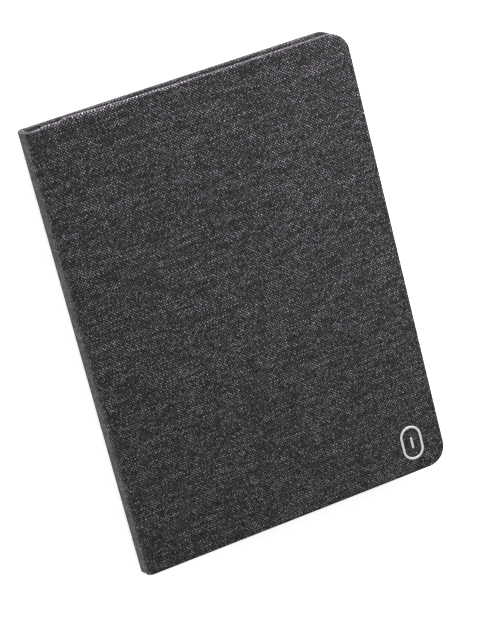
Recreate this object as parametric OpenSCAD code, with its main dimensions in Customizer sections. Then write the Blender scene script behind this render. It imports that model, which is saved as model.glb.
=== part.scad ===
// Folio case for a tablet, lying closed on its back.
// +Z is up through the front cover, the spine is at -X and the tablet's top edge is at +Y.
// The origin is the middle of the footprint, on the surface that the case lies on.
// A back panel carries the moulded tray, a stiff spine joins it to the front cover,
// and the cloth is creased along both edges of the spine.

/* [Tablet] */
// Width of the tablet that the case holds
tablet_w = 169.5; // [120:0.5:230]
// Height of the tablet
tablet_h = 240; // [180:0.5:300]
// Thickness of the tablet
tablet_t = 6.1; // [5:0.1:9]
// Corner radius of the tablet
tablet_r = 8; // [6:0.5:10]
// Gap between the tablet's edge and the tray wall
fit_gap = 0.3; // [0.1:0.1:0.6]

/* [Tray] */
// Thickness of the tray wall
wall_t = 1.6; // [1.2:0.1:2.4]
// Thickness of the tray floor
floor_t = 1.2; // [0.8:0.1:2]
// Thickness of the soft liner on the tray floor
liner_t = 0.4; // [0.3:0.1:0.8]
// Height of the low walls above the liner
low_wall_h = 1.6; // [1:0.1:3]
// Length of each corner grip along the tray's edges
grip_leg = 26; // [18:1:40]
// Thickness of the grip's lip over the tablet's face
lip_t = 0.8; // [0.6:0.1:1.2]
// Reach of the lip over the tablet's face
lip_w = 1.2; // [0.8:0.1:2]
// Length of the gap in the fore-edge wall for the side buttons
button_gap_l = 46; // [30:1:60]
// Distance from the tray's top edge to that gap
button_gap_end = 34; // [30:1:44]

/* [Camera opening] */
// Distance from the tablet's fore edge to the opening's middle
camera_in_x = 20; // [17:0.5:30]
// Distance from the tablet's top edge to the opening's middle
camera_in_y = 16; // [14:0.5:30]
// Length of the opening along X
camera_l = 24; // [18:0.5:28]
// Width of the opening along Y
camera_w = 14; // [10:0.5:20]
// Wall thickness of the ring that lines the opening
bezel_t = 1.2; // [0.8:0.1:2]

/* [Panels] */
// Thickness of the outer cloth
cloth_t = 0.8; // [0.5:0.1:1.2]
// Thickness of the back board
back_board_t = 1.6; // [1:0.1:2.5]
// Thickness of the padding under the back cloth
back_foam_t = 1.4; // [0.6:0.1:3]
// Thickness of the cover board
cover_board_t = 1.4; // [1:0.1:2.5]
// Thickness of the padding under the cover cloth
cover_foam_t = 0.8; // [0.6:0.1:3]
// Thickness of the lining sheets, and of the turned-in cloth that they butt against
lining_t = 0.6; // [0.4:0.1:0.8]
// Width of the cloth turned in over each board
hem_w = 9; // [6:0.5:14]
// Radius of the fore-edge corners
corner_r = 11; // [10:0.5:20]
// Margin from the tray to the fore edge
fore_margin = 2.8; // [2:0.1:8]
// Margin from the tray to the top and bottom edges
end_margin = 2.6; // [2:0.1:8]
// Air between the grips' lips and the closed cover
closing_gap = 0.4; // [0.3:0.1:1.5]

/* [Spine] */
// Thickness of the spine board
spine_board_t = 1.6; // [1:0.1:2.5]
// Room between the spine's lining and the tray
spine_room = 2.9; // [1.5:0.1:8]
// Gap between the spine's inner face and each panel's end
crease_gap = 0.5; // [0.5:0.1:2]

/* [Magnets] */
// Length of one closure magnet
magnet_l = 14; // [8:1:20]
// Width of one closure magnet
magnet_w = 5; // [3:0.5:8]
// Number of closure magnets along the fore edge
magnet_count = 4; // [2:1:6]
// Distance between the closure magnets' middles
magnet_pitch = 44; // [34:1:48]
// Distance from the fore edge to the magnets' middle
magnet_in = 13; // [11:0.5:20]
// Diameter of the wake magnet
wake_d = 6; // [4:0.5:10]
// Distance from the top edge to the wake magnet
wake_in = 14; // [10:0.5:24]

/* [Emblem] */
// Height of the oval emblem
emblem_h = 19.5; // [12:0.5:26]
// Width of the oval emblem
emblem_w = 12.5; // [10:0.5:20]
// Width of the emblem's stroke
emblem_stroke = 1.2; // [0.8:0.1:2]
// Thickness of the emblem
emblem_t = 0.6; // [0.4:0.1:1]
// How far the emblem is pressed into the cloth
emblem_sink = 0.4; // [0.2:0.05:0.4]
// Distance from the fore edge to the emblem's middle
emblem_in_x = 18.4; // [16:0.2:30]
// Distance from the bottom edge to the emblem's middle
emblem_in_y = 17.2; // [16:0.2:30]

/* [Hidden] */
$fn = 64;
slack = 1;      // how far a cutting shape runs past what it cuts
tray_w = tablet_w + 2 * fit_gap + 2 * wall_t;
tray_h = tablet_h + 2 * fit_gap + 2 * wall_t;
tray_r = tablet_r + fit_gap + wall_t;
spine_t = cloth_t + spine_board_t + lining_t;
crease_r = spine_t + crease_gap;

case_w = spine_t + spine_room + tray_w + fore_margin;
case_h = tray_h + 2 * end_margin;
panel_x0 = -case_w / 2 + crease_r;      // spine-side end of both panels
panel_x1 = case_w / 2;                  // fore edge
spine_x0 = -case_w / 2;
tray_x1 = panel_x1 - fore_margin;
tray_x0 = tray_x1 - tray_w;

back_foam_z = cloth_t;
back_board_z = back_foam_z + back_foam_t;
back_hem_z = back_board_z + back_board_t;
floor_z = back_hem_z + lining_t;
liner_z = floor_z + floor_t;
seat_z = liner_z + liner_t;
low_wall_z = seat_z + low_wall_h;
lip_z = seat_z + tablet_t;
grip_z = lip_z + lip_t;
lining_z = grip_z + closing_gap;
cover_board_z = lining_z + lining_t;
cover_foam_z = cover_board_z + cover_board_t;
cover_cloth_z = cover_foam_z + cover_foam_t;
case_t = cover_cloth_z + cloth_t;

crease_inset = crease_r * (1 - PI / 4);  // from the outer faces to each fold axis
camera_x = tray_x1 - wall_t - fit_gap - camera_in_x;
camera_y = tray_h / 2 - wall_t - fit_gap - camera_in_y;
emblem_x = panel_x1 - emblem_in_x;
emblem_y = -case_h / 2 + emblem_in_y;
emblem_z = case_t - emblem_sink;

// Rounded rectangle from its low corner, with its own radius on the low-X and the high-X corners.
module plate_outline(x0, x1, h, r_low, r_high) {
    difference() {
        translate([x0, -h / 2]) square([x1 - x0, h]);
        for (s = [-1, 1]) {
            corner_waste(x1, s * h / 2, r_high, -1, -s);
            corner_waste(x0, s * h / 2, r_low, 1, -s);
        }
    }
}

// What a rounded corner takes off a square one: sx and sy point into the plate.
module corner_waste(x, y, r, sx, sy) {
    if (r > 0) {
        translate([x, y]) difference() {
            translate([sx > 0 ? -slack : -r, sy > 0 ? -slack : -r]) square(r + slack);
            translate([sx * r, sy * r]) circle(r);
        }
    }
}

// Outline of a cover panel, drawn in from its three free edges.
module panel_outline(inset) {
    plate_outline(panel_x0, panel_x1 - inset, case_h - 2 * inset, 0, corner_r - inset);
}

module stadium(l, w) {
    union() {
        square([l - w, w], center = true);
        for (s = [-1, 1]) translate([s * (l - w) / 2, 0]) circle(d = w);
    }
}

module camera_hole(z0, z1) {
    translate([camera_x, camera_y, z0 - slack]) linear_extrude(z1 - z0 + 2 * slack) stadium(camera_l, camera_w);
}

// A board or pad inside a wrapped panel.
module panel_sheet(z, t, inset) {
    translate([0, 0, z]) linear_extrude(t) panel_outline(inset);
}

// Cloth over one face of a panel, down its edges and turned in over the board.
// side is 1 for the cover, whose cloth is on top, and -1 for the back.
module wrap_cloth(z0, z1, side) {
    pocket_z0 = side > 0 ? z0 + lining_t : z0 + cloth_t;
    pocket_z1 = side > 0 ? z1 - cloth_t : z1 - lining_t;
    window_z = side > 0 ? z0 - slack : pocket_z1 - slack;
    window_t = lining_t + 2 * slack;
    difference() {
        panel_sheet(z0, z1 - z0, 0);
        translate([-slack, 0, pocket_z0]) linear_extrude(pocket_z1 - pocket_z0) pocket_outline(cloth_t);
        translate([-slack, 0, window_z]) linear_extrude(window_t) pocket_outline(hem_w);
    }
}

// As panel_outline, but run out past the spine-side end.
module pocket_outline(inset) {
    plate_outline(panel_x0, panel_x1 - inset + slack, case_h - 2 * inset, 0, max(corner_r - inset, 1));
}

module back_cloth() {
    color([0.25, 0.24, 0.26]) difference() {
        wrap_cloth(0, floor_z, -1);
        camera_hole(0, floor_z);
    }
}

module back_foam() {
    color([0.75, 0.75, 0.75]) difference() {
        panel_sheet(back_foam_z, back_foam_t, cloth_t);
        camera_hole(back_foam_z, back_board_z);
    }
}

module back_board() {
    color([0.55, 0.47, 0.38]) difference() {
        panel_sheet(back_board_z, back_board_t, cloth_t);
        camera_hole(back_board_z, back_hem_z);
    }
}

module back_bond_sheet() {
    color([0.85, 0.84, 0.8]) difference() {
        panel_sheet(back_hem_z, lining_t, hem_w);
        camera_hole(back_hem_z, floor_z);
    }
}

module tray_outline(inset) {
    plate_outline(tray_x0 + inset, tray_x1 - inset, tray_h - 2 * inset, tray_r - inset, tray_r - inset);
}

// The moulded tray: a floor, high walls along the two long edges and low walls at the two ends.
// The walls stop at the corners, which the soft grips close.
module tray_shell() {
    half = tray_h / 2 - grip_leg;
    color([0.12, 0.12, 0.13]) difference() {
        union() {
            translate([0, 0, floor_z]) linear_extrude(floor_t) tray_outline(0);
            tray_wall(tray_x0, tray_x0 + wall_t, -half, half, lip_z);
            tray_wall(tray_x1 - wall_t, tray_x1, -half, half, lip_z);
            for (y0 = [-tray_h / 2, tray_h / 2 - wall_t])
                tray_wall(tray_x0 + grip_leg, tray_x1 - grip_leg, y0, y0 + wall_t, low_wall_z);
        }
        button_gap();
        camera_hole(floor_z, liner_z);
    }
}

module tray_wall(x0, x1, y0, y1, top_z) {
    translate([x0, y0, floor_z]) cube([x1 - x0, y1 - y0, top_z - floor_z]);
}

// The fore-edge wall drops to the low height beside the tablet's buttons.
module button_gap() {
    gap_y1 = tray_h / 2 - button_gap_end;
    translate([tray_x1 - wall_t - slack, gap_y1 - button_gap_l, low_wall_z])
        cube([wall_t + 2 * slack, button_gap_l, lip_z - low_wall_z + slack]);
}

module tray_liner() {
    color([0.62, 0.61, 0.63]) difference() {
        translate([0, 0, liner_z]) linear_extrude(liner_t) tray_outline(wall_t);
        camera_hole(liner_z, seat_z);
    }
}

module camera_bezel() {
    color([0.1, 0.1, 0.11]) translate([camera_x, camera_y, 0]) linear_extrude(seat_z) difference() {
        stadium(camera_l, camera_w);
        stadium(camera_l - 2 * bezel_t, camera_w - 2 * bezel_t);
    }
}

// Soft corner with a lip over the tablet's face: sx and sy say which corner.
module corner_grip(sx, sy) {
    corner_x = sx > 0 ? tray_x1 : tray_x0;
    color([0.16, 0.16, 0.17]) intersection() {
        translate([corner_x - (sx > 0 ? grip_leg : 0), sy > 0 ? tray_h / 2 - grip_leg : -tray_h / 2, liner_z])
            cube([grip_leg, grip_leg, grip_z - liner_z]);
        difference() {
            translate([0, 0, liner_z]) linear_extrude(grip_z - liner_z) tray_outline(0);
            translate([0, 0, liner_z - slack]) linear_extrude(lip_z - liner_z + slack) tray_outline(wall_t);
            translate([0, 0, lip_z - slack]) linear_extrude(lip_t + 2 * slack)
                tray_outline(wall_t + fit_gap + lip_w);
        }
    }
}

module corner_grip_top_spine() {
    corner_grip(-1, 1);
}

module corner_grip_top_fore() {
    corner_grip(1, 1);
}

module corner_grip_bottom_spine() {
    corner_grip(-1, -1);
}

module corner_grip_bottom_fore() {
    corner_grip(1, -1);
}

// The outer cloth at a crease: a quarter round along Y between the spine and a panel.
module crease_cloth(z, side) {
    color([0.25, 0.24, 0.26]) translate([panel_x0, case_h / 2, z]) rotate([90, 0, 0])
        linear_extrude(case_h) intersection() {
            difference() {
                circle(crease_r);
                circle(crease_r - cloth_t);
            }
            translate([-crease_r, side > 0 ? 0 : -crease_r]) square(crease_r);
        }
}

// The lining at a crease, level with the panel's lining: it joins that to the spine's lining.
module crease_lining(z) {
    x0 = spine_x0 + spine_t - lining_t;
    translate([x0, cloth_t - case_h / 2, z]) cube([panel_x0 - x0, case_h - 2 * cloth_t, lining_t]);
}

module back_crease_cloth() {
    crease_cloth(crease_r, -1);
}

module front_crease_cloth() {
    crease_cloth(case_t - crease_r, 1);
}

module back_crease_lining() {
    color([0.66, 0.65, 0.68]) crease_lining(back_hem_z);
}

module front_crease_lining() {
    color([0.66, 0.65, 0.68]) crease_lining(lining_z);
}

// A layer of the spine: its depth from the outer face, its thickness, its length and its two ends in Z.
module spine_layer(depth, t, l, z0, z1) {
    translate([spine_x0 + depth, -l / 2, z0]) cube([t, l, z1 - z0]);
}

module spine_cloth() {
    color([0.25, 0.24, 0.26]) spine_layer(0, cloth_t, case_h, crease_r, case_t - crease_r);
}

module spine_board() {
    color([0.55, 0.47, 0.38])
        spine_layer(cloth_t, spine_board_t, case_h - 2 * cloth_t, crease_r, case_t - crease_r);
}

// The spine's lining runs between the two crease linings.
module spine_lining() {
    color([0.66, 0.65, 0.68])
        spine_layer(cloth_t + spine_board_t, lining_t, case_h - 2 * cloth_t, floor_z, lining_z);
}

module cover_cloth() {
    color([0.25, 0.24, 0.26]) difference() {
        wrap_cloth(lining_z, case_t, 1);
        translate([emblem_x, emblem_y, emblem_z]) linear_extrude(emblem_t) emblem_oval(0);
    }
}

module cover_foam() {
    color([0.75, 0.75, 0.75]) panel_sheet(cover_foam_z, cover_foam_t, cloth_t);
}

module cover_board() {
    color([0.55, 0.47, 0.38]) difference() {
        panel_sheet(cover_board_z, cover_board_t, cloth_t);
        magnet_row(slack);
        wake_disc(slack);
    }
}

module cover_lining() {
    color([0.66, 0.65, 0.68]) panel_sheet(lining_z, lining_t, hem_w);
}

// Magnets let into the cover board along the fore edge, drawn extra deep to cut their pockets.
module magnet_row(extra) {
    for (i = [0 : magnet_count - 1]) {
        translate([panel_x1 - magnet_in - magnet_w / 2, (i - (magnet_count - 1) / 2) * magnet_pitch - magnet_l / 2,
            cover_board_z - extra]) cube([magnet_w, magnet_l, cover_board_t + 2 * extra]);
    }
}

module wake_disc(extra) {
    translate([panel_x1 - magnet_in, case_h / 2 - wake_in, cover_board_z - extra])
        cylinder(d = wake_d, h = cover_board_t + 2 * extra);
}

module closure_magnets() {
    color([0.72, 0.73, 0.75]) magnet_row(0);
}

module wake_magnet() {
    color([0.72, 0.73, 0.75]) wake_disc(0);
}

// Upright oval, the width and height of the emblem less an even inset.
module emblem_oval(inset) {
    rotate(90) stadium(emblem_h - 2 * inset, emblem_w - 2 * inset);
}

module emblem() {
    color([0.8, 0.8, 0.82]) translate([emblem_x, emblem_y, emblem_z]) linear_extrude(emblem_t) difference() {
        emblem_oval(0);
        emblem_oval(emblem_stroke);
    }
}

// The cloth-coloured plate inside the ring carries one slim upright bar.
module emblem_bar() {
    color([0.3, 0.3, 0.32]) translate([emblem_x, emblem_y, emblem_z]) union() {
        linear_extrude(emblem_sink) emblem_oval(emblem_stroke);
        linear_extrude(emblem_t) square([emblem_stroke, emblem_h / 3], center = true);
    }
}

back_cloth();
back_foam();
back_board();
back_bond_sheet();
tray_shell();
tray_liner();
camera_bezel();
corner_grip_top_spine();
corner_grip_top_fore();
corner_grip_bottom_spine();
corner_grip_bottom_fore();
back_crease_cloth();
back_crease_lining();
spine_cloth();
spine_board();
spine_lining();
front_crease_cloth();
front_crease_lining();
cover_cloth();
cover_foam();
cover_board();
cover_lining();
closure_magnets();
wake_magnet();
emblem();
emblem_bar();
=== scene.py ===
"""A folio case for a tablet, closed: padded cloth panels round a moulded tray, on a pale floor.

Places come from the boxes of the CAD nodes. Only the corner radius and the look of the finished
cloth are set here. Lengths are in metres.
"""
import math

import bmesh
import bpy
from mathutils import Matrix, Vector, noise


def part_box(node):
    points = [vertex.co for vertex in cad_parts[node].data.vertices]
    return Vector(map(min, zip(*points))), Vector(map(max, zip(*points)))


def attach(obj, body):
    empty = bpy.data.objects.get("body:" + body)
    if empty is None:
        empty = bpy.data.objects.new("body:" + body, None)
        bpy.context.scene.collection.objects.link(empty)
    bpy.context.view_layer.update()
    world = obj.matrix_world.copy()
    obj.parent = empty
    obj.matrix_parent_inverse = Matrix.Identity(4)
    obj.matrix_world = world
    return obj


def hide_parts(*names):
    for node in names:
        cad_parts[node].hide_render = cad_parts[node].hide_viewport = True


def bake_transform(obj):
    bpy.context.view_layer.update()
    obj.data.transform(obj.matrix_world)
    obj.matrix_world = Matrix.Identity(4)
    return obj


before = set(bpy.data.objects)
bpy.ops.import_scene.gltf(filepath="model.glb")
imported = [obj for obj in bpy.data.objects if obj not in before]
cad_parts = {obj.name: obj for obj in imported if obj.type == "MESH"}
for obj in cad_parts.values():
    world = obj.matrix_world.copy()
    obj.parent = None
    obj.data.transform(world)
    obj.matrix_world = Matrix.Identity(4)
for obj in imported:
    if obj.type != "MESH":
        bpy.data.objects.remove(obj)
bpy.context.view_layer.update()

MM = 0.001

# ---------------------------------------------------------------- places taken from the CAD

COVER_LO, COVER_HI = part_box("cover_cloth")
BACK_LO, BACK_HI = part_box("back_cloth")
SPINE_LO, SPINE_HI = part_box("spine_cloth")
LINING_LO, LINING_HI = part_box("cover_lining")
BEZEL_LO, BEZEL_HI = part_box("camera_bezel")
SPINE_LINING_LO, SPINE_LINING_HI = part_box("spine_lining")
FRONT_LINING_LO, FRONT_LINING_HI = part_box("front_crease_lining")
BACK_LINING_LO, BACK_LINING_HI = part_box("back_crease_lining")

HALF_LENGTH = COVER_HI[1]
PANEL_START = COVER_LO[0]                 # where the panels end and the creases begin
FORE_EDGE = COVER_HI[0]
SPINE_OUTER = SPINE_LO[0]
CREASE_R = PANEL_START - SPINE_OUTER
HEM_W = LINING_LO[1] + HALF_LENGTH        # width of the cloth turned in over the boards
HEM_T = LINING_HI[2] - LINING_LO[2]
CORNER_R = 11 * MM
CLOTH_T = SPINE_HI[0] - SPINE_LO[0]

# ---------------------------------------------------------------- how the finished cloth looks

FACE_ROUND = 1.1 * MM                     # rounding where the cloth turns over the padding
HEM_ROUND = 0.9 * MM                      # rounding where it turns in under the board
WARP_PITCH = 0.90 * MM
WEFT_PITCH = 0.80 * MM
SPINE_DEPTH = SPINE_LINING_HI[0] - SPINE_OUTER - 0.1 * MM
SPINE_CROWN = 0.15 * MM                   # how far the spine bows outwards
FOLD_REACH = 1.7 * MM                     # how far the folded cloth stands out at the lower spine corner
SILVER_RING = {"Stroke": 1.2 * MM}
SILVER_BAR = {"Width": 1.2 * MM, "Length": 6.5 * MM, "Stroke": 0.598 * MM}    # the stroke fills the bar
PUCKER_REACH = 1.35 * MM                  # how far the loose hem stands out beside the spine
PUCKERS = ((0.52, 8, 11.5), (-0.16, 14, 17.5), (0.64, 19, 22.5))    # share of that reach, from and to, in mm
BEYOND_HEM = 9 * MM                       # an inset that no pucker reaches
BACK_SHIFT = 0.4                          # moves the weave, so that the back shows other yarns than the front
WORLD_STRENGTH = 0.38
FLOOR_GLOW = 0.70
TRAY_EASE, PAD_EASE, GRIP_EASE = 0.3 * MM, 0.15 * MM, 0.35 * MM


# ---------------------------------------------------------------- small node-tree helpers

def new_material(name):
    material = bpy.data.materials.new(name)
    material.use_nodes = True
    tree = material.node_tree
    return material, tree, tree.nodes["Principled BSDF"]


def add(tree, kind, settings=None, **inputs):
    """A node of this kind, with its settings made and its inputs filled or linked."""
    node = tree.nodes.new(kind)
    for key, value in (settings or {}).items():
        setattr(node, key, value)
    for key, value in inputs.items():
        socket = node.inputs[int(key[1:])] if key[0] == "i" and key[1:].isdigit() else node.inputs[key]
        if isinstance(value, bpy.types.NodeSocket):
            tree.links.new(value, socket)
        else:
            socket.default_value = value
    return node


def calc(tree, operation, a, b=0.0):
    return add(tree, "ShaderNodeMath", {"operation": operation}, i0=a, i1=b).outputs[0]


def ramp(tree, factor, stops):
    node = add(tree, "ShaderNodeValToRGB", Fac=factor)
    elements = node.color_ramp.elements
    while len(elements) < len(stops):
        elements.new(0.5)
    for element, (position, colour) in zip(elements, stops):
        element.position = position
        element.color = (*colour, 1)
    return node.outputs[0]


def bump(tree, shader, height, distance, strength=1.0):
    node = add(tree, "ShaderNodeBump", Height=height, Distance=distance, Strength=strength)
    tree.links.new(node.outputs[0], shader.inputs["Normal"])


def noise_at(tree, vector, scale, detail=2.0, roughness=0.5):
    node = add(tree, "ShaderNodeTexNoise", Vector=vector, Scale=scale, Detail=detail, Roughness=roughness)
    return node.outputs[0]


# ---------------------------------------------------------------- materials

def heathered_weave(name):
    """Plain weave of melange yarns: dark warp, lighter weft, each uneven along its length, with odd slubs."""
    material, tree, shader = new_material(name)
    uv = add(tree, "ShaderNodeTexCoord").outputs["UV"]
    drift = add(tree, "ShaderNodeTexNoise", {"noise_dimensions": "2D"}, Vector=uv, Scale=160.0, Detail=2.0)
    wander = add(tree, "ShaderNodeVectorMath", {"operation": "MULTIPLY_ADD"}, i0=drift.outputs[1],
                 i1=(0.9 * MM, 0.9 * MM, 0), i2=uv)
    split = add(tree, "ShaderNodeSeparateXYZ", Vector=wander.outputs[0])
    u = calc(tree, "DIVIDE", split.outputs[0], WARP_PITCH)
    v = calc(tree, "DIVIDE", split.outputs[1], WEFT_PITCH)
    column = calc(tree, "FLOOR", u)
    row = calc(tree, "FLOOR", v)
    along = calc(tree, "SUBTRACT", u, column)
    across = calc(tree, "SUBTRACT", v, row)
    over = calc(tree, "FLOORED_MODULO", calc(tree, "ADD", column, row), 2.0)

    def yarn_shade(yarn, run, seed, slub):
        """Slow change along a yarn, mixed in by the share slub, and short flecks for the rest."""
        place = add(tree, "ShaderNodeCombineXYZ", X=calc(tree, "MULTIPLY", yarn, 7.31),
                    Y=calc(tree, "MULTIPLY", run, 0.06), Z=seed)
        long_slub = noise_at(tree, place.outputs[0], 1.0, 1.0)
        place = add(tree, "ShaderNodeCombineXYZ", X=calc(tree, "MULTIPLY", yarn, 5.77),
                    Y=calc(tree, "MULTIPLY", run, 1.37), Z=seed + 40)
        fleck = noise_at(tree, place.outputs[0], 1.0, 2.0, 0.7)
        return calc(tree, "ADD", calc(tree, "MULTIPLY", long_slub, slub),
                    calc(tree, "MULTIPLY", fleck, 1 - slub))

    weft = calc(tree, "ADD", calc(tree, "MULTIPLY", yarn_shade(row, u, 3.0, 0.22), 0.8), 0.185)
    warp = calc(tree, "ADD", calc(tree, "MULTIPLY", yarn_shade(column, v, 19.0, 0.18), 0.8), 0.03)
    shade = calc(tree, "ADD", calc(tree, "MULTIPLY", warp, over),
                 calc(tree, "MULTIPLY", weft, calc(tree, "SUBTRACT", 1.0, over)))
    colour = ramp(tree, shade, [
        (0.38, (0.0020, 0.0017, 0.0020)), (0.50, (0.0102, 0.0090, 0.0103)),
        (0.585, (0.0485, 0.0441, 0.0492)), (0.70, (0.37, 0.343, 0.379))])

    def round_yarn(side, length):
        crown = calc(tree, "SINE", calc(tree, "MULTIPLY", side, math.pi))
        dive = calc(tree, "SINE", calc(tree, "MULTIPLY", length, math.pi))
        return calc(tree, "MULTIPLY", crown, calc(tree, "ADD", 0.35, calc(tree, "MULTIPLY", dive, 0.65)))

    height = calc(tree, "ADD", calc(tree, "MULTIPLY", round_yarn(along, across), over),
                  calc(tree, "MULTIPLY", round_yarn(across, along), calc(tree, "SUBTRACT", 1.0, over)))
    # painted shade: the colour is darkened in the gaps between the yarns, where shade falls
    valley_shade = calc(tree, "ADD", 0.30, calc(tree, "MULTIPLY", height, 0.95))
    # painted highlight: the colour is lifted where the cover's cloth turns round its edge, standing in for
    # the light that edge catches
    painted_edge_highlight = add(tree, "ShaderNodeAttribute", {"attribute_name": "painted_edge_highlight"}).outputs["Fac"]
    lift = calc(tree, "MULTIPLY", valley_shade, calc(tree, "ADD", 1.0, calc(tree, "MULTIPLY", painted_edge_highlight, 0.9)))
    shaded = add(tree, "ShaderNodeVectorMath", {"operation": "SCALE"}, i0=colour)
    tree.links.new(lift, shaded.inputs["Scale"])
    tree.links.new(shaded.outputs[0], shader.inputs["Base Color"])
    shader.inputs["Roughness"].default_value = 0.88
    shader.inputs["Specular IOR Level"].default_value = 0.2
    shader.inputs["Sheen Weight"].default_value = 0.08
    shader.inputs["Sheen Roughness"].default_value = 0.5
    shader.inputs["Sheen Tint"].default_value = (0.85, 0.83, 0.9, 1)
    bump(tree, shader, height, 0.2 * MM, 0.9)
    return material


def brushed_microfibre(name, low, high, nap=1.0):
    """Short nap that lies unevenly, with fine fibres."""
    material, tree, shader = new_material(name)
    place = add(tree, "ShaderNodeTexCoord").outputs["Object"]
    stroke = add(tree, "ShaderNodeMapping", Vector=place, Scale=(1.0, 0.35, 1.0))
    patches = noise_at(tree, stroke.outputs[0], 150.0, 4.0, 0.6)
    fibres = noise_at(tree, place, 1900.0, 3.0, 0.75)
    shade = calc(tree, "ADD", calc(tree, "MULTIPLY", patches, 0.28), calc(tree, "MULTIPLY", fibres, 0.72))
    colour = ramp(tree, shade, [(0.32, low), (0.68, high)])
    tree.links.new(colour, shader.inputs["Base Color"])
    shader.inputs["Roughness"].default_value = 0.93
    shader.inputs["Specular IOR Level"].default_value = 0.15
    shader.inputs["Sheen Weight"].default_value = 0.35 * nap
    shader.inputs["Sheen Roughness"].default_value = 0.4
    bump(tree, shader, shade, 0.10 * MM, 0.5)
    return material


def moulded(name, colour, roughness, grain, depth, gloss=0.5):
    """Moulded plastic or rubber: spark-eroded grain and slightly uneven shine."""
    material, tree, shader = new_material(name)
    place = add(tree, "ShaderNodeTexCoord").outputs["Object"]
    pebbles = noise_at(tree, place, grain, 3.0, 0.6)
    flow = noise_at(tree, place, 35.0, 2.0)
    tint = ramp(tree, flow, [(0.3, tuple(c * 0.86 for c in colour)), (0.7, tuple(c * 1.12 for c in colour))])
    tree.links.new(tint, shader.inputs["Base Color"])
    shine = calc(tree, "ADD", roughness - 0.06, calc(tree, "MULTIPLY", pebbles, 0.12))
    tree.links.new(shine, shader.inputs["Roughness"])
    shader.inputs["Specular IOR Level"].default_value = gloss
    bump(tree, shader, pebbles, depth)
    return material


def satin_metal(name, colour, direction, metallic=1.0):
    """Satin metal with fine drawn lines."""
    material, tree, shader = new_material(name)
    place = add(tree, "ShaderNodeTexCoord").outputs["Object"]
    lines = add(tree, "ShaderNodeMapping", Vector=place, Scale=direction)
    brushing = noise_at(tree, lines.outputs[0], 900.0, 3.0, 0.6)
    tint = ramp(tree, brushing, [(0.3, tuple(c * 0.82 for c in colour)), (0.7, colour)])
    tree.links.new(tint, shader.inputs["Base Color"])
    shine = calc(tree, "ADD", 0.24, calc(tree, "MULTIPLY", brushing, 0.16))
    tree.links.new(shine, shader.inputs["Roughness"])
    shader.inputs["Metallic"].default_value = metallic
    bump(tree, shader, brushing, 0.012 * MM, 0.6)
    return material


def pressed_board(name):
    """Grey-brown fibreboard with flecks."""
    material, tree, shader = new_material(name)
    place = add(tree, "ShaderNodeTexCoord").outputs["Object"]
    pulp = noise_at(tree, place, 420.0, 4.0, 0.65)
    colour = ramp(tree, pulp, [
        (0.3, (0.16, 0.13, 0.10)), (0.55, (0.30, 0.25, 0.19)), (0.75, (0.42, 0.37, 0.29))])
    tree.links.new(colour, shader.inputs["Base Color"])
    shader.inputs["Roughness"].default_value = 0.9
    bump(tree, shader, pulp, 0.08 * MM)
    return material


def cell_foam(name):
    """Closed-cell padding: fine bubbles."""
    material, tree, shader = new_material(name)
    place = add(tree, "ShaderNodeTexCoord").outputs["Object"]
    cells = add(tree, "ShaderNodeTexVoronoi", Vector=place, Scale=2600.0).outputs["Distance"]
    colour = ramp(tree, cells, [(0.0, (0.40, 0.40, 0.41)), (0.6, (0.60, 0.60, 0.60))])
    tree.links.new(colour, shader.inputs["Base Color"])
    shader.inputs["Roughness"].default_value = 0.95
    bump(tree, shader, cells, 0.05 * MM)
    return material


WEAVE = heathered_weave("heathered_charcoal_weave")
LINING = brushed_microfibre("grey_microfibre", (0.16, 0.155, 0.170), (0.25, 0.243, 0.262))
TRAY_LINER = brushed_microfibre("tray_microfibre", (0.13, 0.126, 0.138), (0.20, 0.194, 0.210), nap=0.8)
TRAY = moulded("textured_black_polycarbonate", (0.011, 0.011, 0.012), roughness=0.55, grain=2400.0,
               depth=0.03 * MM, gloss=0.2)
GRIP = moulded("soft_touch_elastomer", (0.018, 0.018, 0.020), roughness=0.74, grain=3600.0,
               depth=0.02 * MM, gloss=0.35)
BEZEL = moulded("smooth_black_plastic", (0.014, 0.014, 0.016), roughness=0.28, grain=900.0,
                depth=0.004 * MM)
MAGNET = satin_metal("nickel_plate", (0.62, 0.61, 0.58), direction=(1.0, 6.0, 1.0))
SILVER = satin_metal("satin_silver", (0.97, 0.97, 0.98), direction=(8.0, 1.0, 1.0), metallic=0.55)
BOARD = pressed_board("fibreboard")
FOAM = cell_foam("closed_cell_padding")
BOND = moulded("bonding_sheet", (0.10, 0.10, 0.105), roughness=0.6, grain=700.0, depth=0.02 * MM)


# ---------------------------------------------------------------- mesh helpers

SAME_POINT = 1e-6
FLAT_ANGLE = math.radians(1)              # faces that meet at less are merged
EDGE_ANGLE = math.radians(40)             # edges sharper than this are eased
ROUND_STEPS, HEM_STEPS, CREASE_STEPS = 8, 6, 14               # segments in each quarter turn
SPINE_STEPS, SPINE_LENGTH_STEPS, LINING_STEPS = 8, 110, 100


def make_piece(name, points, faces, material, uvs=None):
    """A mesh object at the origin. uvs holds one (u, v) for each point."""
    mesh = bpy.data.meshes.new(name)
    mesh.from_pydata([tuple(p) for p in points], [], faces)
    if uvs:
        layer = mesh.uv_layers.new(name="cloth")
        for loop in mesh.loops:
            layer.data[loop.index].uv = uvs[loop.vertex_index]
    mesh.polygons.foreach_set("use_smooth", [True] * len(mesh.polygons))
    mesh.materials.append(material)
    piece = bpy.data.objects.new(name, mesh)
    bpy.context.scene.collection.objects.link(piece)
    return piece


def outward(piece):
    """Turns the faces of a closed mesh outwards."""
    work = bmesh.new()
    work.from_mesh(piece.data)
    bmesh.ops.recalc_face_normals(work, faces=work.faces)
    work.to_mesh(piece.data)
    work.free()


def keep_creases(piece, angle=40):
    """Smooth shading, with the edges sharper than this angle in degrees left crisp."""
    with bpy.context.temp_override(object=piece, active_object=piece, selected_editable_objects=[piece]):
        bpy.ops.object.shade_smooth_by_angle(angle=math.radians(angle))


def quarter_turn(steps):
    return [math.pi / 2 * i / steps for i in range(steps + 1)]


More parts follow.
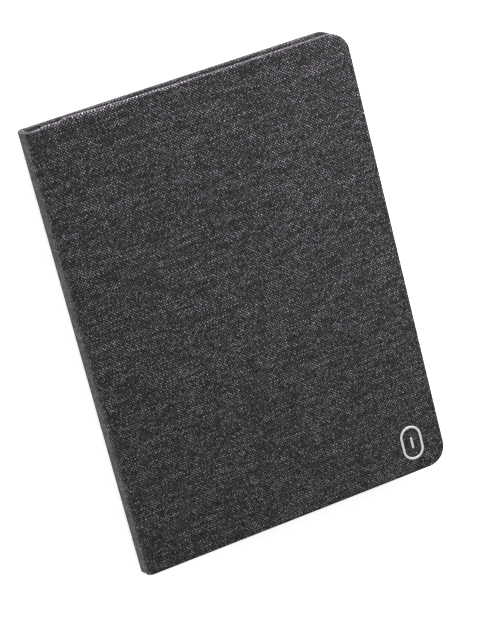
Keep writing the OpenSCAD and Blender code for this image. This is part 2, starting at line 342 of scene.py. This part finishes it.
def tube_faces(rings, count):
    """Faces between rings of count points each, and a flat cap on the first and the last ring."""
    faces = []
    for ring in range(rings - 1):
        for k in range(count):
            a, b = ring * count + k, ring * count + (k + 1) % count
            faces.append((a, b, b + count, a + count))
    faces.append(tuple(range(count)))
    faces.append(tuple(range((rings - 1) * count, rings * count)))
    return faces


def softened(name, node, body, material, width, segments=3):
    """A CAD node's shape with its edges eased, standing for that node."""
    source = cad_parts[node]
    work = bmesh.new()
    work.from_mesh(source.data)
    bmesh.ops.remove_doubles(work, verts=work.verts, dist=SAME_POINT)
    bmesh.ops.dissolve_limit(work, angle_limit=FLAT_ANGLE, verts=work.verts, edges=work.edges)
    edges = [e for e in work.edges if len(e.link_faces) == 2 and e.calc_face_angle() > EDGE_ANGLE]
    bmesh.ops.bevel(work, geom=edges, offset=width, segments=segments, profile=0.5, affect="EDGES",
                    clamp_overlap=True)
    bmesh.ops.triangulate(work, faces=[f for f in work.faces if len(f.verts) > 4])
    mesh = bpy.data.meshes.new(name)
    work.to_mesh(mesh)
    work.free()
    mesh.polygons.foreach_set("use_smooth", [True] * len(mesh.polygons))
    mesh.materials.append(material)
    piece = bpy.data.objects.new(name, mesh)
    bpy.context.scene.collection.objects.link(piece)
    keep_creases(piece, 32)
    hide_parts(node)
    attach(piece, body)
    return piece


# ---------------------------------------------------------------- padded panels

STRAIGHT_STEPS, CORNER_STEPS, EDGE_STEPS = 90, 14, 110


def panel_path():
    """The panel's free edge as (point, outward direction), from one end of the crease to the other."""
    arc_x, arc_y = FORE_EDGE - CORNER_R, HALF_LENGTH - CORNER_R
    low = [((PANEL_START + (arc_x - PANEL_START) * i / STRAIGHT_STEPS, -HALF_LENGTH), (0.0, -1.0))
           for i in range(STRAIGHT_STEPS)]
    for turn in quarter_turn(CORNER_STEPS):
        away = (math.sin(turn), -math.cos(turn))
        low.append(((arc_x + CORNER_R * away[0], -arc_y + CORNER_R * away[1]), away))
    edge = [((FORE_EDGE, -arc_y + 2 * arc_y * j / EDGE_STEPS), (1.0, 0.0)) for j in range(1, EDGE_STEPS)]
    high = [((x, -y), (nx, -ny)) for (x, y), (nx, ny) in reversed(low)]
    return low + edge + high, len(low)


def rim_profile(thickness):
    """(inset, depth from the face, length along the cloth), from the face round the edge to the hem's end."""
    steps = []
    for turn in quarter_turn(ROUND_STEPS):
        steps.append((FACE_ROUND * (1 - math.sin(turn)), FACE_ROUND * (1 - math.cos(turn))))
    for turn in quarter_turn(HEM_STEPS):
        steps.append((HEM_ROUND * (1 - math.cos(turn)), thickness - HEM_ROUND * (1 - math.sin(turn))))
    steps += [(2.4 * MM, thickness), (4.5 * MM, thickness), (HEM_W - 0.35 * MM, thickness),
              (HEM_W - 0.08 * MM, thickness - 0.12 * MM), (HEM_W, thickness - 0.9 * HEM_T)]
    run, profile = 0.0, []
    for before, (inset, depth) in zip(steps[:1] + steps, steps):
        run += math.dist(before, (inset, depth))
        profile.append((inset, depth, run))
    return profile


def padding_sag(x, y):
    """How far the face lies below its highest plane: the padding is never quite even."""
    inward = max(0.0, min(FORE_EDGE - x, HALF_LENGTH - abs(y), x - PANEL_START + 6 * MM))
    middle = min(1.0, inward / (12 * MM))
    return 0.05 * MM * middle * (1 + noise.noise(Vector((x * 16, y * 12, 3.1))))


def ease_in(value, start, end):
    t = min(1.0, max(0.0, (value - start) / (end - start)))
    return t * t * (3 - 2 * t)


def loose_hem(x, y, inset, depth):
    """How far the cover's hem stands out at the top end, where the turned cloth puckers beside the spine."""
    if y < 0:
        return 0.0
    along = (x - SPINE_OUTER) / MM
    rise = sum(share * ease_in(along, start, end) for share, start, end in PUCKERS)
    fade = 1 - 0.62 * ease_in(along, 24, 55) - 0.38 * ease_in(along, 50, 115)
    low = ease_in(depth, 0.2 * MM, 0.8 * MM)
    near = max(0.0, 1 - inset / (4.5 * MM))
    return PUCKER_REACH * rise * fade * low * near


def corner_fold(x, y, z):
    """How far the cloth folded into the lower spine corner stands out along -Y; most at the back's face."""
    at_end = ease_in(-y, HALF_LENGTH - 5 * MM, HALF_LENGTH - 0.5 * MM)
    beside = 1 - ease_in(x - SPINE_OUTER, 1.5 * MM, 20 * MM)
    level = 1 - ease_in(z, 1.5 * MM, COVER_LO[2])
    return FOLD_REACH * at_end * beside * level


def wrapped_panel(name, outer_z, inner_z, puckered=False):
    """A padded board in its cloth, closed all round: outer_z is the cloth face, inner_z the hemmed one."""
    facing = 1 if outer_z > inner_z else -1
    profile = rim_profile(abs(outer_z - inner_z))
    path, low_count = panel_path()
    points, uvs, faces = [], [], []

    def put(x, y, inset, depth, u, v):
        if puckered:
            out = loose_hem(x, y, inset, depth)
            y += math.copysign(out, y)
            depth += 0.15 * out
        z = outer_z - facing * depth
        points.append((x, y - corner_fold(x, y, z), z))
        uvs.append((u, v + (0 if facing > 0 else BACK_SHIFT)))
        return len(points) - 1

    grid = []
    for (x, y), (nx, ny) in path[:low_count]:
        x, y = x - FACE_ROUND * nx, y - FACE_ROUND * ny
        column = []
        for j in range(EDGE_STEPS + 1):
            spot = y - 2 * y * j / EDGE_STEPS
            column.append(put(x, spot, BEYOND_HEM, padding_sag(x, spot), x, spot))
        grid.append(column)
    for one, two in zip(grid, grid[1:]):
        for j in range(EDGE_STEPS):
            faces.append((one[j], two[j], two[j + 1], one[j + 1]))

    rings = [[column[0] for column in grid] + grid[-1][1:-1] + [column[-1] for column in reversed(grid)]]
    for inset, depth, run in profile[1:]:
        rings.append([put(x - inset * nx, y - inset * ny, inset, depth,
                          x + (run - FACE_ROUND) * nx, y + (run - FACE_ROUND) * ny)
                      for (x, y), (nx, ny) in path])
    for one, two in zip(rings, rings[1:]):
        for k in range(len(one) - 1):
            faces.append((one[k + 1], one[k], two[k], two[k + 1]))

    under, count = rings[-1], len(path)
    for k in range(low_count - 2):
        faces.append((under[k + 1], under[k], under[count - 1 - k], under[count - 2 - k]))
    faces.append(tuple(under[low_count - 2:count - low_count + 2]))
    faces.append(tuple(grid[0][1:-1]) + tuple(r[-1] for r in rings) + tuple(r[0] for r in reversed(rings)))
    piece = make_piece(name, points, faces, WEAVE, uvs)
    outward(piece)
    keep_creases(piece)
    if puckered:
        # the cover's turned edge gets a painted highlight in its colour
        mark_painted_highlight(piece, lambda x, y, z: painted_highlight_share(x, y, abs(z - outer_z)))
    return piece


def painted_highlight_share(x, y, depth):
    """How much painted highlight the cloth gets where it turns round the panel's edge, from 0 to 1."""
    inward = min(FORE_EDGE - x, HALF_LENGTH - abs(y))
    line = ease_in(depth, 0.15 * MM, 0.6 * MM) * (1 - ease_in(depth, 1.5 * MM, 2.2 * MM))
    return line * (1 - ease_in(inward, 1.6 * MM, 2.4 * MM))


# Stores the painted highlight share on each point, which the weave's colour reads.
def mark_painted_highlight(piece, amount):
    layer = piece.data.attributes.new("painted_edge_highlight", "FLOAT", "POINT")
    for vertex, value in zip(piece.data.vertices, layer.data):
        value.value = amount(*vertex.co)


def stadium_outline(low, high, grow):
    """Points round a slot that is longer in X, from its box, with grow added all round."""
    radius = (high[1] - low[1]) / 2 + grow
    centre_y, half = (low[1] + high[1]) / 2, (high[0] - low[0]) / 2 + grow - radius
    centre_x = (low[0] + high[0]) / 2
    outline = []
    for side in (1, -1):
        for i in range(17):
            turn = math.pi * i / 16 - math.pi / 2
            outline.append((centre_x + side * (half + radius * math.cos(turn)),
                            centre_y + side * radius * math.sin(turn)))
    return outline


def prism(name, outline, low_z, high_z, material):
    count = len(outline)
    points = [(x, y, low_z) for x, y in outline] + [(x, y, high_z) for x, y in outline]
    faces = [tuple(reversed(range(count))), tuple(range(count, 2 * count))]
    faces += [(i, (i + 1) % count, count + (i + 1) % count, count + i) for i in range(count)]
    piece = make_piece(name, points, faces, material, [(x, y) for x, y, _ in points])
    outward(piece)
    return piece


def cut_away(piece, cutter):
    """Takes the cutter's shape out of a piece, and removes the cutter."""
    modifier = piece.modifiers.new("cut", "BOOLEAN")
    modifier.operation = "DIFFERENCE"
    modifier.solver = "EXACT"
    modifier.object = cutter
    evaluated = piece.evaluated_get(bpy.context.evaluated_depsgraph_get())
    mesh = bpy.data.meshes.new_from_object(evaluated)
    piece.modifiers.clear()
    piece.data = mesh
    bpy.data.objects.remove(cutter)


def cover_panel():
    piece = wrapped_panel("cover_padded_cloth", COVER_HI[2], COVER_LO[2], puckered=True)
    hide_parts("cover_cloth")
    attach(piece, "cover")


def back_panel():
    piece = wrapped_panel("back_padded_cloth", BACK_LO[2], BACK_HI[2])
    outline = stadium_outline(BEZEL_LO, BEZEL_HI, 0.12 * MM)
    cut_away(piece, prism("camera_cut", outline, BACK_LO[2] - 1 * MM, BACK_HI[2] + 1 * MM, WEAVE))
    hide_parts("back_cloth")
    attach(piece, "back")


# ---------------------------------------------------------------- cloth round the spine

def end_section():
    """(distance in from the strip's end, depth below its outer face), from the outer face to the inner."""
    section = []
    for turn in quarter_turn(ROUND_STEPS):
        section.append((FACE_ROUND * (1 - math.sin(turn)), FACE_ROUND * (1 - math.cos(turn))))
    tip, inner_r = SPINE_DEPTH - CLOTH_T / 2, FACE_ROUND - CLOTH_T
    for i in range(1, 7):
        turn = math.pi * i / 6
        section.append((CLOTH_T / 2 * (1 - math.cos(turn)), tip + CLOTH_T / 2 * math.sin(turn)))
    for turn in reversed(quarter_turn(5)):
        section.append((FACE_ROUND - inner_r * math.sin(turn), FACE_ROUND - inner_r * math.cos(turn)))
    return section


def square_up(inward, depth, share):
    """The same point of the end section with its rounding drawn tighter by this share, from 0 to 1."""
    edge = max(0.0, 1 - depth / FACE_ROUND) if inward < FACE_ROUND else 0.0
    return inward * (1 - 0.6 * share * edge)


def spine_route(facing):
    """(x, z, inward x, inward z, length) up the outer face of the spine and round the crease to the panel."""
    middle = (SPINE_LO[2] + SPINE_HI[2]) / 2
    turn_z = SPINE_HI[2] if facing > 0 else SPINE_LO[2]
    rise = abs(turn_z - middle)
    route = []
    for i in range(SPINE_STEPS):
        t = i / SPINE_STEPS
        bow = SPINE_CROWN * (1 - t * t) ** 2
        route.append((SPINE_OUTER - bow, middle + facing * rise * t, 1.0, 0.0, rise * t))
    for turn in quarter_turn(CREASE_STEPS):
        ix, iz = math.cos(turn), -facing * math.sin(turn)
        route.append((PANEL_START - CREASE_R * ix, turn_z - CREASE_R * iz, ix, iz, rise + CREASE_R * turn))
    return route


def spine_cloth(name, facing, nodes):
    """Half of the spine's cloth and one crease."""
    section = end_section()
    outer_steps = SPINE_LENGTH_STEPS
    flat_end = HALF_LENGTH - FACE_ROUND
    # a closed loop in Y and depth: along the outer face, round one end, back inside, round the other
    loop = [(-flat_end + 2 * flat_end * j / outer_steps, 0.0) for j in range(outer_steps)]
    loop += [(HALF_LENGTH - inward, depth) for inward, depth in section]
    loop += [(flat_end - 2 * flat_end * j / outer_steps, CLOTH_T) for j in range(1, outer_steps)]
    loop += [(-HALF_LENGTH + inward, depth) for inward, depth in reversed(section[1:])]
    run, lengths = 0.0, []
    for before, here in zip(loop[:1] + loop, loop):
        run += math.dist(before, here)
        lengths.append(run)
    route = spine_route(facing)
    whole = route[-1][4]
    shift = 0 if facing > 0 else BACK_SHIFT
    points, uvs = [], []
    for x, z, ix, iz, length in route:
        share = 1 - ease_in(length, whole - 1.4 * CREASE_R, whole)
        for (y, depth), along in zip(loop, lengths):
            reach = HALF_LENGTH - square_up(HALF_LENGTH - abs(y), depth, share)
            spot = (x + ix * depth, math.copysign(reach, y), z + iz * depth)
            points.append((spot[0], spot[1] - corner_fold(*spot), spot[2]))
            uvs.append((PANEL_START - (whole - length), -flat_end + along + shift))
    piece = make_piece(name, points, tube_faces(len(route), len(loop)), WEAVE, uvs)
    outward(piece)
    keep_creases(piece, 50)
    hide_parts(*nodes)
    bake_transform(piece)


def spine_lining(name, facing, nodes):
    """Half of the spine's lining and the strip across one crease."""
    middle = (SPINE_LINING_LO[2] + SPINE_LINING_HI[2]) / 2
    inner_x, under_x = SPINE_LINING_HI[0], SPINE_LINING_LO[0]
    level_lo, level_hi = ((FRONT_LINING_LO[2], FRONT_LINING_HI[2]) if facing > 0
                          else (BACK_LINING_LO[2], BACK_LINING_HI[2]))
    face_z = level_lo if facing > 0 else level_hi
    far_z = level_hi if facing > 0 else level_lo
    half = HALF_LENGTH - CLOTH_T - 0.1 * MM
    ease = 0.35 * MM
    show = [(inner_x, middle + (face_z - middle) * i / SPINE_STEPS) for i in range(SPINE_STEPS)]
    show += [(inner_x, face_z - facing * ease), (inner_x + ease * 0.3, face_z - facing * ease * 0.3),
             (inner_x + ease, face_z), (PANEL_START, face_z)]
    hide = [(PANEL_START, far_z), (under_x, far_z), (under_x, middle)]
    loop = show + hide
    points = []
    for j in range(LINING_STEPS + 1):
        y = -half + 2 * half * j / LINING_STEPS
        points += [(x, y, z) for x, z in loop]
    piece = make_piece(name, points, tube_faces(LINING_STEPS + 1, len(loop)), LINING)
    outward(piece)
    keep_creases(piece, 50)
    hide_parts(*nodes)
    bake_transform(piece)


# ---------------------------------------------------------------- linings

def sheet_between(name, low, high, corner, ease, material):
    """A thin sheet that fills a box whose fore corners are round. The edges of its low face are eased."""
    outline = [(low[0], low[1]), (low[0], high[1])]
    for side in (1, -1):
        for turn in quarter_turn(ROUND_STEPS):
            ux, uy = (math.sin(turn), math.cos(turn)) if side > 0 else (math.cos(turn), -math.sin(turn))
            outline.append((high[0] - corner + corner * ux, side * (high[1] - corner) + corner * uy))
    centre = ((low[0] + high[0]) / 2, (low[1] + high[1]) / 2)
    face_z, far_z = low[2], high[2]
    rings = [(0.0, far_z), (0.0, face_z + ease), (0.3 * ease, face_z + 0.3 * ease), (ease, face_z)]
    points = [(x - math.copysign(inset, x - centre[0]), y - math.copysign(inset, y - centre[1]), z)
              for inset, z in rings for x, y in outline]
    piece = make_piece(name, points, tube_faces(len(rings), len(outline)), material)
    outward(piece)
    keep_creases(piece, 50)
    return piece


def oval_band_tree():
    """Geometry Nodes: a flat band swept round an oval that stands along Y, with its edges eased."""
    tree = bpy.data.node_groups.new("oval_band", "GeometryNodeTree")
    for name in ("Width", "Length", "Stroke", "Thickness", "Easing"):
        tree.interface.new_socket(name, in_out="INPUT", socket_type="NodeSocketFloat")
    tree.interface.new_socket("Finish", in_out="INPUT", socket_type="NodeSocketMaterial")
    tree.interface.new_socket("Geometry", in_out="OUTPUT", socket_type="NodeSocketGeometry")
    given = tree.nodes.new("NodeGroupInput").outputs
    across = calc(tree, "SUBTRACT", given["Width"], given["Stroke"])
    along = calc(tree, "SUBTRACT", given["Length"], given["Stroke"])
    oblong = add(tree, "GeometryNodeCurvePrimitiveQuadrilateral", Width=across, Height=along)
    oval = add(tree, "GeometryNodeFilletCurve", {"mode": "POLY"}, Curve=oblong.outputs[0], Count=14,
               Radius=calc(tree, "DIVIDE", across, 2.0001))    # just under half, or the ends meet in a point
    level = add(tree, "GeometryNodeSetCurveNormal", {"mode": "Z_UP"}, Curve=oval.outputs[0])
    section = add(tree, "GeometryNodeCurvePrimitiveQuadrilateral", Width=given["Stroke"],
                  Height=given["Thickness"])
    eased = add(tree, "GeometryNodeFilletCurve", {"mode": "POLY"}, Curve=section.outputs[0], Count=3,
                Radius=given["Easing"])
    band = tree.nodes.new("GeometryNodeCurveToMesh")
    tree.links.new(level.outputs[0], band.inputs["Curve"])
    tree.links.new(eased.outputs[0], band.inputs["Profile Curve"])
    real = add(tree, "GeometryNodeRealizeInstances", Geometry=band.outputs[0])
    finish = add(tree, "GeometryNodeSetMaterial", Geometry=real.outputs[0], Material=given["Finish"])
    out = tree.nodes.new("NodeGroupOutput")
    tree.links.new(finish.outputs[0], out.inputs[0])
    return tree


def oval_band(name, tree, centre, sizes, material):
    """The band made by the tree, set at its place as a plain mesh."""
    holder = bpy.data.objects.new(name, bpy.data.meshes.new(name))
    bpy.context.scene.collection.objects.link(holder)
    modifier = holder.modifiers.new("band", "NODES")
    modifier.node_group = tree
    for item in tree.interface.items_tree:
        if item.in_out == "INPUT":
            modifier[item.identifier] = material if item.name == "Finish" else sizes[item.name]
    evaluated = holder.evaluated_get(bpy.context.evaluated_depsgraph_get())
    mesh = bpy.data.meshes.new_from_object(evaluated)
    holder.modifiers.clear()
    holder.data = mesh
    mesh.transform(Matrix.Translation(centre))
    outward(holder)
    keep_creases(holder, 35)
    return holder


def emblem():
    """A plain silver oval with one upright bar in it, set on the cloth."""
    low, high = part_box("emblem")
    bottom = COVER_HI[2] - 0.4 * MM
    centre = ((low[0] + high[0]) / 2, (low[1] + high[1]) / 2, (bottom + high[2]) / 2)
    tree = oval_band_tree()
    common = {"Thickness": high[2] - bottom, "Easing": 0.08 * MM}
    ring = oval_band("emblem_ring", tree, centre, SILVER_RING | common | {
        "Width": high[0] - low[0], "Length": high[1] - low[1]}, SILVER)
    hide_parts("emblem")
    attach(ring, "cover")
    bar = oval_band("emblem_upright", tree, centre, SILVER_BAR | common, SILVER)
    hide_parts("emblem_bar")
    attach(bar, "cover")


def cover_lining():
    seam = 0.3 * MM
    low = (LINING_LO[0], LINING_LO[1] + seam, LINING_LO[2])
    high = (LINING_HI[0] - seam, LINING_HI[1] - seam, LINING_HI[2])
    piece = sheet_between("cover_microfibre", low, high, CORNER_R - HEM_W, 0.25 * MM, LINING)
    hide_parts("cover_lining")
    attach(piece, "cover")


# ---------------------------------------------------------------- CAD nodes with a better finish

def finish_hard_parts():
    softened("tray_moulding", "tray_shell", "back", TRAY, TRAY_EASE)
    pad = softened("tray_pad", "tray_liner", "back", TRAY_LINER, PAD_EASE, 2)
    softened("camera_ring", "camera_bezel", "back", BEZEL, TRAY_EASE)
    for end in ("top", "bottom"):
        for side in ("spine", "fore"):
            node = f"corner_grip_{end}_{side}"
            softened(node.replace("corner_grip", "grip"), node, "back", GRIP, GRIP_EASE)
    for node, material in (("back_foam", FOAM), ("cover_foam", FOAM), ("back_board", BOARD),
                           ("cover_board", BOARD), ("spine_board", BOARD), ("back_bond_sheet", BOND),
                           ("closure_magnets", MAGNET), ("wake_magnet", MAGNET)):
        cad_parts[node].material_slots[0].material = material


# ---------------------------------------------------------------- stage

def pale_floor():
    material, _, shader = new_material("pale_floor")
    shader.inputs["Base Color"].default_value = (0.93, 0.93, 0.93, 1)
    shader.inputs["Roughness"].default_value = 0.9
    shader.inputs["Specular IOR Level"].default_value = 0.1
    shader.inputs["Emission Color"].default_value = (1, 1, 1, 1)
    shader.inputs["Emission Strength"].default_value = FLOOR_GLOW
    size = 6.0
    floor = make_piece("floor", [(-size, -size, 0), (size, -size, 0), (size, size, 0), (-size, size, 0)],
                       [(0, 1, 2, 3)], material)
    floor.location.z = -0.3 * MM


def area_light(name, place, target, size, power):
    light = bpy.data.lights.new(name, "AREA")
    light.shape = "DISK"
    light.size = size
    light.energy = power
    lamp = bpy.data.objects.new(name, light)
    lamp.location = place
    lamp.rotation_euler = (Vector(target) - Vector(place)).to_track_quat("-Z", "Y").to_euler()
    bpy.context.scene.collection.objects.link(lamp)


def studio():
    world = bpy.data.worlds.new("studio")
    world.use_nodes = True
    world.node_tree.nodes["Background"].inputs["Color"].default_value = (1, 1, 1, 1)
    world.node_tree.nodes["Background"].inputs["Strength"].default_value = WORLD_STRENGTH
    bpy.context.scene.world = world
    centre = (0, 0, COVER_HI[2])
    area_light("key", (0.42, 0.26, 0.32), (0.03, 0.04, COVER_HI[2]), size=0.3, power=4.4)
    area_light("spine_light", (-1.5, 0.15, 0.06), centre, size=0.4, power=27.0)
    area_light("top_light", (0.1, 1.6, 0.07), centre, size=0.12, power=50.0)
    bpy.context.scene.view_settings.view_transform = "Standard"


def camera():
    """Looks down on the cover from the spine's top corner, turned so that the spine leans to the left."""
    aim = Vector((-3.9 * MM, -2.1 * MM, COVER_HI[2]))
    azimuth, elevation, roll = math.radians(-134.79), math.radians(65.615), math.radians(-117.545)
    distance, lens = 1.3078, 143.14
    away = Vector((math.cos(elevation) * math.sin(azimuth), -math.cos(elevation) * math.cos(azimuth),
                   math.sin(elevation)))
    data = bpy.data.cameras.new("camera")
    data.lens = lens
    data.clip_end = 20
    eye = bpy.data.objects.new("camera", data)
    right = Vector((0, 0, 1)).cross(away).normalized()
    level = away.cross(right)
    up = level * math.cos(roll) + right * math.sin(roll)
    across = up.cross(away)
    turn = Matrix((across, up, away)).transposed()
    eye.matrix_world = Matrix.Translation(aim + away * distance) @ turn.to_4x4()
    bpy.context.scene.collection.objects.link(eye)
    bpy.context.scene.camera = eye


camera()
cover_panel()
back_panel()
spine_cloth("front_spine_cloth", 1, ("front_crease_cloth", "spine_cloth"))
spine_cloth("back_spine_cloth", -1, ("back_crease_cloth",))
spine_lining("front_spine_lining", 1, ("front_crease_lining", "spine_lining"))
spine_lining("back_spine_lining", -1, ("back_crease_lining",))
cover_lining()
emblem()
finish_hard_parts()
pale_floor()
studio()
